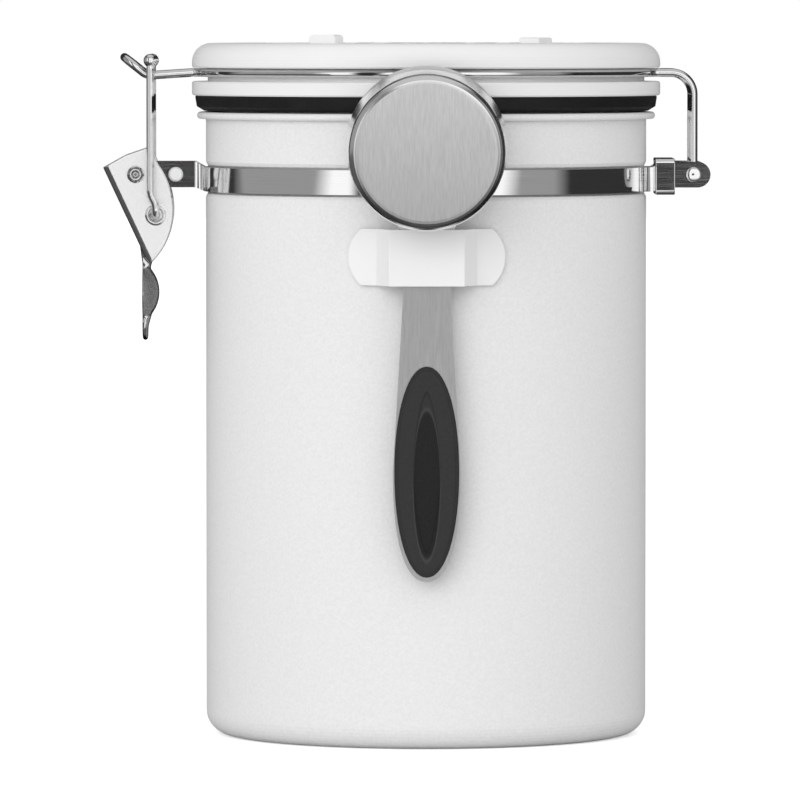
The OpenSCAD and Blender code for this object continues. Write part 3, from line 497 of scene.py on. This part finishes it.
def peen_head(wire, place, radius, length):
    """A low domed head, hammered onto the wire's end and joined to it."""
    bpy.ops.object.select_all(action="DESELECT")
    bpy.ops.mesh.primitive_uv_sphere_add(segments=48, ring_count=32, radius=radius, location=place,
                                         rotation=(math.pi / 2, 0, 0))
    head = bpy.context.object
    head.scale.z = length / (2 * radius)
    bpy.ops.object.transform_apply(location=True, rotation=True, scale=True)
    join_to(wire, head)


def join_to(main, *others):
    bpy.ops.object.select_all(action="DESELECT")
    for other in others:
        other.select_set(True)
    main.select_set(True)
    bpy.context.view_layer.objects.active = main
    bpy.ops.object.join()


LINK_WIRE = 0.0021
LINK_EYE = (-0.0735, 0.1416)
CHEEK_OUTER_SIDE = 0.0072
LINK_LEG_SIDE = 0.00905
LINK_HEIGHT = 0.0419
LINK_OFFSET = 0.0014
LINK_HOOK_BEND = 0.0017
LINK_KNEE_BEND = 0.005
LINK_TOP_BEND = 0.0022
KNOB_RADIUS = 0.00185


def link():
    """An inverted U whose ends hook into the lever, with a round knob at each top corner."""
    knee = math.degrees(math.acos(1 - LINK_OFFSET / (2 * LINK_KNEE_BEND)))
    knee_height = 2 * LINK_KNEE_BEND * math.sin(math.radians(knee))
    hook_side = 0.0061
    steps = [
        LINK_LEG_SIDE - LINK_HOOK_BEND - hook_side,
        (LINK_HOOK_BEND, 90, (0, 0, 1)),
        (LINK_KNEE_BEND, knee, (-1, 0, 0)),
        (LINK_KNEE_BEND, knee, (1, 0, 0)),
        LINK_HEIGHT - LINK_TOP_BEND - LINK_HOOK_BEND - knee_height,
        (LINK_TOP_BEND, 90, (0, -1, 0)),
        LINK_LEG_SIDE - LINK_TOP_BEND,
    ]
    start = (LINK_EYE[0], hook_side, LINK_EYE[1])
    wire, place, heading = bent_wire("latch_link_wire", LINK_WIRE, start, (0, 1, 0), steps)
    mirror_to_front(wire)
    close_ends(wire)
    for side in (-1, 1):
        knob_place = (LINK_EYE[0] - LINK_OFFSET, side * 0.0088, LINK_EYE[1] + LINK_HEIGHT)
        bpy.ops.object.select_all(action="DESELECT")
        bpy.ops.mesh.primitive_uv_sphere_add(segments=36, ring_count=20, radius=KNOB_RADIUS,
                                             location=knob_place, rotation=(math.pi / 2, 0, 0))
        knob = bpy.context.object
        knob.scale.z = 0.9
        bpy.ops.object.transform_apply(location=True, rotation=True, scale=True)
        join_to(wire, knob)
    settle(wire, 40)
    dress(wire, WIRE_STEEL)
    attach(wire, "link")
    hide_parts("latch_link")
    return wire


# PRESSED STEEL

def copy_of(node, name):
    """A new piece with the node's mesh, whose loose triangles are merged."""
    piece = bpy.data.objects.new(name, NODES[node].data.copy())
    scene.collection.objects.link(piece)
    use_only(piece)
    bpy.ops.object.mode_set(mode="EDIT")
    bpy.ops.mesh.select_all(action="SELECT")
    bpy.ops.mesh.remove_doubles(threshold=0.000002)
    bpy.ops.mesh.select_all(action="DESELECT")
    bpy.ops.object.mode_set(mode="OBJECT")
    bpy.ops.object.select_all(action="DESELECT")
    return piece


def lever():
    """The pressed lever: its edges are round, and the thumb dish runs smoothly into neck and lip."""
    piece = copy_of("latch_lever", "pressed_lever")
    skin = piece.modifiers.new("skin", "REMESH")
    skin.mode = "VOXEL"
    skin.voxel_size = 0.00022
    soften = piece.modifiers.new("soften", "SMOOTH")
    soften.factor = 0.5
    soften.iterations = 8
    apply_modifiers(piece)
    spoon = piece.vertex_groups.new(name="spoon")
    spoon.add([vertex.index for vertex in piece.data.vertices if vertex.co.z < 0.1285], 1.0, "ADD")
    blend = piece.modifiers.new("blend", "SMOOTH")
    blend.factor = 0.5
    blend.iterations = 30
    blend.vertex_group = "spoon"
    apply_modifiers(piece)
    bpy.ops.object.shade_smooth()
    dress(piece, LATCH_STEEL)
    piece.data.materials.append(CHEEK_STEEL)
    piece.data.materials.append(SHADED_SPOON_BACK)
    for face in piece.data.polygons:
        if abs(face.normal.y) > 0.985 and face.center.z > 0.128:
            face.material_index = 1
        # Painted shade: the dish's faces turned towards the can get the darker steel, as well as a
        # duller finish.
        elif face.normal.x > 0.05 and face.center.z < 0.1285:
            face.material_index = 2
    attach(piece, "lever")
    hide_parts("latch_lever")
    return piece


def pressed_strip(node, name, material, body, edge):
    """The band or clip with its cut edges rounded, so that they catch the light."""
    piece = copy_of(node, name)
    rounding = piece.modifiers.new("round_edges", "BEVEL")
    rounding.width = edge
    rounding.segments = 2
    rounding.limit_method = "ANGLE"
    rounding.angle_limit = math.radians(40)
    apply_modifiers(piece)
    bpy.ops.object.shade_smooth_by_angle(angle=math.radians(12))
    flats = piece.modifiers.new("flat_faces", "WEIGHTED_NORMAL")
    flats.weight = 100
    flats.keep_sharp = True
    apply_modifiers(piece)
    bpy.ops.object.select_all(action="DESELECT")
    dress(piece, material)
    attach(piece, body)
    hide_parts(node)
    return piece


bail()
link()
lever()
pressed_strip("front_band", "front_clamp_band", BAND_STEEL, "canister", 0.00016)
pressed_strip("rear_band", "rear_clamp_band", BAND_STEEL, "canister", 0.00016)
pressed_strip("hinge_clip", "hinge_ear_clip", BAND_STEEL, "canister", 0.0002)


# DATE DIAL NUMBERS

LID_TOP = 0.1883
NUMBER_RELIEF = 0.00008


def number_ring(name, count, radius, height):
    """Raised numbers from 1 to the count, upright towards the rim, in a ring on the lid."""
    numbers = []
    for number in range(1, count + 1):
        angle = math.radians(90 - 360 * (number - 1) / count)
        place = (radius * math.cos(angle), radius * math.sin(angle), LID_TOP)
        bpy.ops.object.text_add(location=place, rotation=(0, 0, angle - math.pi / 2))
        text = bpy.context.object
        text.data.body = str(number)
        text.data.size = height
        text.data.align_x = "CENTER"
        text.data.align_y = "CENTER"
        text.data.extrude = NUMBER_RELIEF
        text.data.bevel_depth = 0.00002
        bpy.ops.object.convert(target="MESH")
        numbers.append(bpy.context.object)
    bpy.ops.object.select_all(action="DESELECT")
    for text in numbers:
        text.select_set(True)
    bpy.context.view_layer.objects.active = numbers[0]
    bpy.ops.object.join()
    ring = bpy.context.object
    bpy.ops.object.transform_apply(location=True, rotation=True, scale=True)
    ring.name = name
    bpy.ops.object.select_all(action="DESELECT")
    dress(ring, LID_PLASTIC)
    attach(ring, "lid")
    return ring


number_ring("day_numbers", 31, 0.0418, 0.0044)
number_ring("month_numbers", 12, 0.0243, 0.0058)


# STUDIO

def studio_world():
    """An even white studio to the camera; reflections see its walls, a tone for each direction."""
    world = bpy.data.worlds.new("white_studio")
    scene.world = world
    world.use_nodes = True
    nodes, links = world.node_tree.nodes, world.node_tree.links
    even = nodes["Background"]
    even.inputs["Color"].default_value = (1, 1, 1, 1)
    ray = nodes.new("ShaderNodeLightPath")
    level = nodes.new("ShaderNodeMapRange")
    level.inputs["To Min"].default_value = WORLD_LEVEL
    level.inputs["To Max"].default_value = 1.0
    links.new(ray.outputs["Is Camera Ray"], level.inputs["Value"])
    links.new(level.outputs["Result"], even.inputs["Strength"])
    coords = nodes.new("ShaderNodeTexCoord")
    split = nodes.new("ShaderNodeSeparateXYZ")
    links.new(coords.outputs["Generated"], split.inputs["Vector"])
    front = nodes.new("ShaderNodeMath")
    front.operation = "MULTIPLY"
    front.inputs[1].default_value = -1.0
    links.new(split.outputs["Y"], front.inputs[0])
    around = nodes.new("ShaderNodeMath")
    around.operation = "ARCTAN2"
    links.new(split.outputs["X"], around.inputs[0])
    links.new(front.outputs["Value"], around.inputs[1])
    place = nodes.new("ShaderNodeMapRange")
    place.inputs["From Min"].default_value = -math.pi
    place.inputs["From Max"].default_value = math.pi
    links.new(around.outputs["Value"], place.inputs["Value"])
    walls = nodes.new("ShaderNodeValToRGB")
    stops = walls.color_ramp.elements
    while len(stops) < len(WALL_TONES):
        stops.new(0.5)
    for stop, (azimuth, tone) in zip(stops, WALL_TONES):
        stop.position = (azimuth + 180) / 360
    for stop, (azimuth, tone) in zip(stops, WALL_TONES):
        stop.color = (*grey(tone), 1.0)
    links.new(place.outputs["Result"], walls.inputs["Fac"])
    height = nodes.new("ShaderNodeMapRange")
    height.inputs["From Min"].default_value = -1.0
    links.new(split.outputs["Z"], height.inputs["Value"])
    rise = nodes.new("ShaderNodeValToRGB")
    stops = rise.color_ramp.elements
    while len(stops) < len(HEIGHT_TONES):
        stops.new(0.5)
    for stop, (level, tone) in zip(stops, HEIGHT_TONES):
        stop.position = (level + 1) / 2
    for stop, (level, tone) in zip(stops, HEIGHT_TONES):
        stop.color = (*grey(tone), 1.0)
    links.new(height.outputs["Result"], rise.inputs["Fac"])
    both = nodes.new("ShaderNodeVectorMath")
    both.operation = "MULTIPLY"
    links.new(walls.outputs["Color"], both.inputs[0])
    links.new(rise.outputs["Color"], both.inputs[1])
    mirrored = nodes.new("ShaderNodeBackground")
    overhead = nodes.new("ShaderNodeMapRange")
    overhead.inputs["From Min"].default_value = 0.72
    overhead.inputs["From Max"].default_value = 0.86
    links.new(split.outputs["Z"], overhead.inputs["Value"])
    sky = nodes.new("ShaderNodeMix")
    sky.data_type = "RGBA"
    sky.inputs["B"].default_value = (*grey(CEILING_TONE), 1.0)
    links.new(both.outputs["Vector"], sky.inputs["A"])
    links.new(overhead.outputs["Result"], sky.inputs["Factor"])
    links.new(sky.outputs["Result"], mirrored.inputs["Color"])
    choice = nodes.new("ShaderNodeMixShader")
    links.new(ray.outputs["Is Glossy Ray"], choice.inputs["Fac"])
    links.new(even.outputs["Background"], choice.inputs[1])
    links.new(mirrored.outputs["Background"], choice.inputs[2])
    links.new(choice.outputs["Shader"], nodes["World Output"].inputs["Surface"])


def soft_box(name, place, aim, width, height, watts):
    """A wide lamp that lights surfaces but that no reflection sees."""
    bpy.ops.object.light_add(type="AREA", location=place)
    lamp = bpy.context.object
    lamp.name = name
    lamp.rotation_euler = (Vector(aim) - Vector(place)).to_track_quat("-Z", "Y").to_euler()
    lamp.data.shape = "RECTANGLE"
    lamp.data.size = width
    lamp.data.size_y = height
    lamp.data.energy = watts
    lamp.visible_glossy = False
    return lamp


def plain_surface(name, level):
    material = bpy.data.materials.new(name)
    material.use_nodes = True
    shader = material.node_tree.nodes["Principled BSDF"]
    shader.inputs["Base Color"].default_value = (*grey(level), 1.0)
    shader.inputs["Roughness"].default_value = 1.0
    shader.inputs["Specular IOR Level"].default_value = 0.0
    return material, shader


def pale_floor():
    """A floor that the camera sees as white, with the object's shadow, and that lights less."""
    bpy.ops.mesh.primitive_plane_add(size=12.0, location=(0, 0, 0))
    floor = bpy.context.object
    floor.name = "floor"
    material, shader = plain_surface("pale_floor", 0.9)
    nodes, links = material.node_tree.nodes, material.node_tree.links
    ray = nodes.new("ShaderNodeLightPath")
    vary_color(material, ray.outputs["Is Camera Ray"], shader.inputs["Base Color"],
               grey(FLOOR_BOUNCE), grey(0.9), 0.0, 1.0)
    vary_number(material, ray.outputs["Is Camera Ray"], shader.inputs["Emission Strength"],
                0.0, FLOOR_GLOW, 0.0, 1.0)
    shader.inputs["Emission Color"].default_value = (1, 1, 1, 1)
    dress(floor, material)
    floor.visible_glossy = False


def reflector(name, azimuth, distance, width, height, level):
    """An upright card that only reflections see; azimuth 0 is at the camera, 90 is at +X."""
    turn = math.radians(azimuth)
    place = (distance * math.sin(turn), -distance * math.cos(turn), height / 2 - 0.02)
    bpy.ops.mesh.primitive_plane_add(size=1.0, location=place, rotation=(math.pi / 2, 0, turn))
    card = bpy.context.object
    card.name = name
    card.scale = (width, height, 1)
    material = bpy.data.materials.new(name)
    material.use_nodes = True
    shader = material.node_tree.nodes["Principled BSDF"]
    shader.inputs["Base Color"].default_value = (0, 0, 0, 1)
    shader.inputs["Specular IOR Level"].default_value = 0.0
    shader.inputs["Emission Color"].default_value = (1, 1, 1, 1)
    shader.inputs["Emission Strength"].default_value = level
    dress(card, material)
    card.visible_camera = False
    card.visible_diffuse = False
    card.visible_shadow = False
    card.visible_transmission = False


WORLD_LEVEL = 0.79
FLOOR_GLOW = 0.5
FLOOR_BOUNCE = 0.8
# A white wall in front with one dark gap, a grey wall on each side of it, and a dark room behind.
WHITE_WALL = 1.0
GREY_WALL = 0.3
DARK_ROOM = 0.03
WALL_TONES = [
    (-180, DARK_ROOM),
    (-120, DARK_ROOM),
    (-110, GREY_WALL),
    (-60, GREY_WALL),
    (-50, WHITE_WALL),
    (-40, WHITE_WALL),
    (-35, DARK_ROOM),
    (-25, DARK_ROOM),
    (-20, WHITE_WALL),
    (40, WHITE_WALL),
    (50, GREY_WALL),
    (70, GREY_WALL),
    (80, DARK_ROOM),
    (180, DARK_ROOM),
]
HEIGHT_TONES = [
    (-0.55, 0.15),
    (-0.3, 1.0),
    (0.55, 1.0),
    (0.72, 0.4),
]
CEILING_TONE = 0.55

studio_world()
pale_floor()
soft_box("key_light", (-0.7, -2.5, 0.75), (0, 0, 0.09), 2.2, 1.8, 26.0)
reflector("dark_card_front", 0, 2.7, 0.5, 0.4, 0.04)
reflector("dark_card_low_left", -80, 0.34, 0.45, 0.152, 0.09)

bpy.ops.object.select_all(action="DESELECT")
